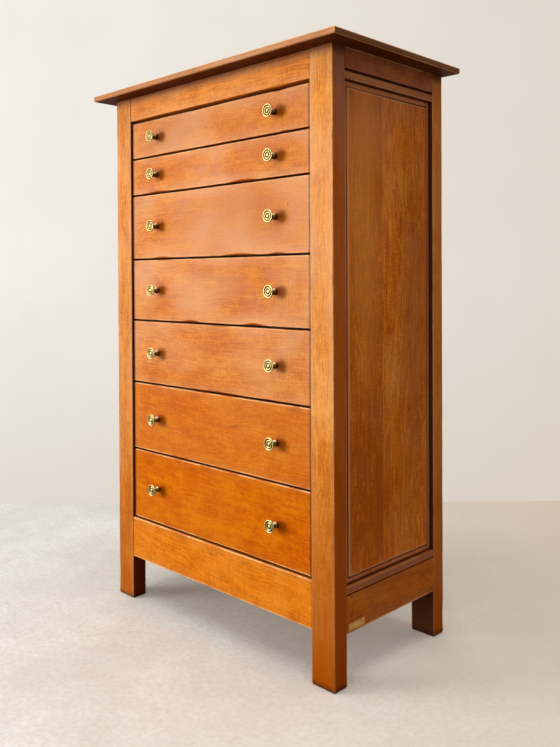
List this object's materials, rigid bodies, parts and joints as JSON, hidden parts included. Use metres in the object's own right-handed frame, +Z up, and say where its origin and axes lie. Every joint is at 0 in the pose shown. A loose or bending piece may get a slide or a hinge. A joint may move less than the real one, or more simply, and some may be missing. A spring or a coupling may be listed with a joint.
{
  "type": "semainier",
  "caption": "Tall narrow chest of drawers on square posts, with raised side panels, a thin oversailing top, dovetailed drawers that lap their dividers and turned brass knobs.",
  "frame": {"origin": "on the floor, under the middle of the top board's outline", "axes": "+Z up, +X to the right of someone facing the drawers, +Y to the back; the drawers open along -Y"},
  "size_m": [0.89, 0.47, 1.4],
  "materials": {
    "front_wood": "waxed cherry, honey coloured, worn edges",
    "frame_wood": "waxed cherry",
    "panel_wood": "waxed cherry, upright grain",
    "top_wood": "waxed cherry",
    "drawer_box_wood": "planed poplar, unfinished",
    "inner_wood": "planed poplar, unfinished",
    "back_wood": "sawn poplar, darkened by age",
    "brass_knobs": "turned, mellow with age"
  },
  "bodies": {
    "carcass": {"back_boards": "back_wood", "drawer_dividers": "inner_wood", "drawer_runners": "inner_wood", "front_apron": "frame_wood", "front_left_post": "frame_wood", "front_right_post": "frame_wood", "front_top_rail": "frame_wood", "left_side_bottom_rail": "frame_wood", "left_side_panel": "panel_wood", "left_side_top_rail": "frame_wood", "rear_bottom_rail": "back_wood", "rear_left_post": "frame_wood", "rear_right_post": "frame_wood", "rear_top_rail": "back_wood", "right_side_bottom_rail": "frame_wood", "right_side_panel": "panel_wood", "right_side_top_rail": "frame_wood", "top_board": "top_wood"},
    "drawer_1": {"drawer_1_back": "drawer_box_wood", "drawer_1_bottom": "drawer_box_wood", "drawer_1_front": "front_wood", "drawer_1_knobs": "brass_knobs", "drawer_1_left_side": "drawer_box_wood", "drawer_1_right_side": "drawer_box_wood"},
    "drawer_2": {"drawer_2_back": "drawer_box_wood", "drawer_2_bottom": "drawer_box_wood", "drawer_2_front": "front_wood", "drawer_2_knobs": "brass_knobs", "drawer_2_left_side": "drawer_box_wood", "drawer_2_right_side": "drawer_box_wood"},
    "drawer_3": {"drawer_3_back": "drawer_box_wood", "drawer_3_bottom": "drawer_box_wood", "drawer_3_front": "front_wood", "drawer_3_knobs": "brass_knobs", "drawer_3_left_side": "drawer_box_wood", "drawer_3_right_side": "drawer_box_wood"},
    "drawer_4": {"drawer_4_back": "drawer_box_wood", "drawer_4_bottom": "drawer_box_wood", "drawer_4_front": "front_wood", "drawer_4_knobs": "brass_knobs", "drawer_4_left_side": "drawer_box_wood", "drawer_4_right_side": "drawer_box_wood"},
    "drawer_5": {"drawer_5_back": "drawer_box_wood", "drawer_5_bottom": "drawer_box_wood", "drawer_5_front": "front_wood", "drawer_5_knobs": "brass_knobs", "drawer_5_left_side": "drawer_box_wood", "drawer_5_right_side": "drawer_box_wood"},
    "drawer_6": {"drawer_6_back": "drawer_box_wood", "drawer_6_bottom": "drawer_box_wood", "drawer_6_front": "front_wood", "drawer_6_knobs": "brass_knobs", "drawer_6_left_side": "drawer_box_wood", "drawer_6_right_side": "drawer_box_wood"},
    "drawer_7": {"drawer_7_back": "drawer_box_wood", "drawer_7_bottom": "drawer_box_wood", "drawer_7_front": "front_wood", "drawer_7_knobs": "brass_knobs", "drawer_7_left_side": "drawer_box_wood", "drawer_7_right_side": "drawer_box_wood"}
  },
  "joints": [
    {"name": "drawer_1_slide", "type": "slide", "parent": "carcass", "child": "drawer_1", "axis": [0, -1, 0], "range_m": [0, 0.3]},
    {"name": "drawer_2_slide", "type": "slide", "parent": "carcass", "child": "drawer_2", "axis": [0, -1, 0], "range_m": [0, 0.3]},
    {"name": "drawer_3_slide", "type": "slide", "parent": "carcass", "child": "drawer_3", "axis": [0, -1, 0], "range_m": [0, 0.3]},
    {"name": "drawer_4_slide", "type": "slide", "parent": "carcass", "child": "drawer_4", "axis": [0, -1, 0], "range_m": [0, 0.3]},
    {"name": "drawer_5_slide", "type": "slide", "parent": "carcass", "child": "drawer_5", "axis": [0, -1, 0], "range_m": [0, 0.3]},
    {"name": "drawer_6_slide", "type": "slide", "parent": "carcass", "child": "drawer_6", "axis": [0, -1, 0], "range_m": [0, 0.3]},
    {"name": "drawer_7_slide", "type": "slide", "parent": "carcass", "child": "drawer_7", "axis": [0, -1, 0], "range_m": [0, 0.3]}
  ]
}
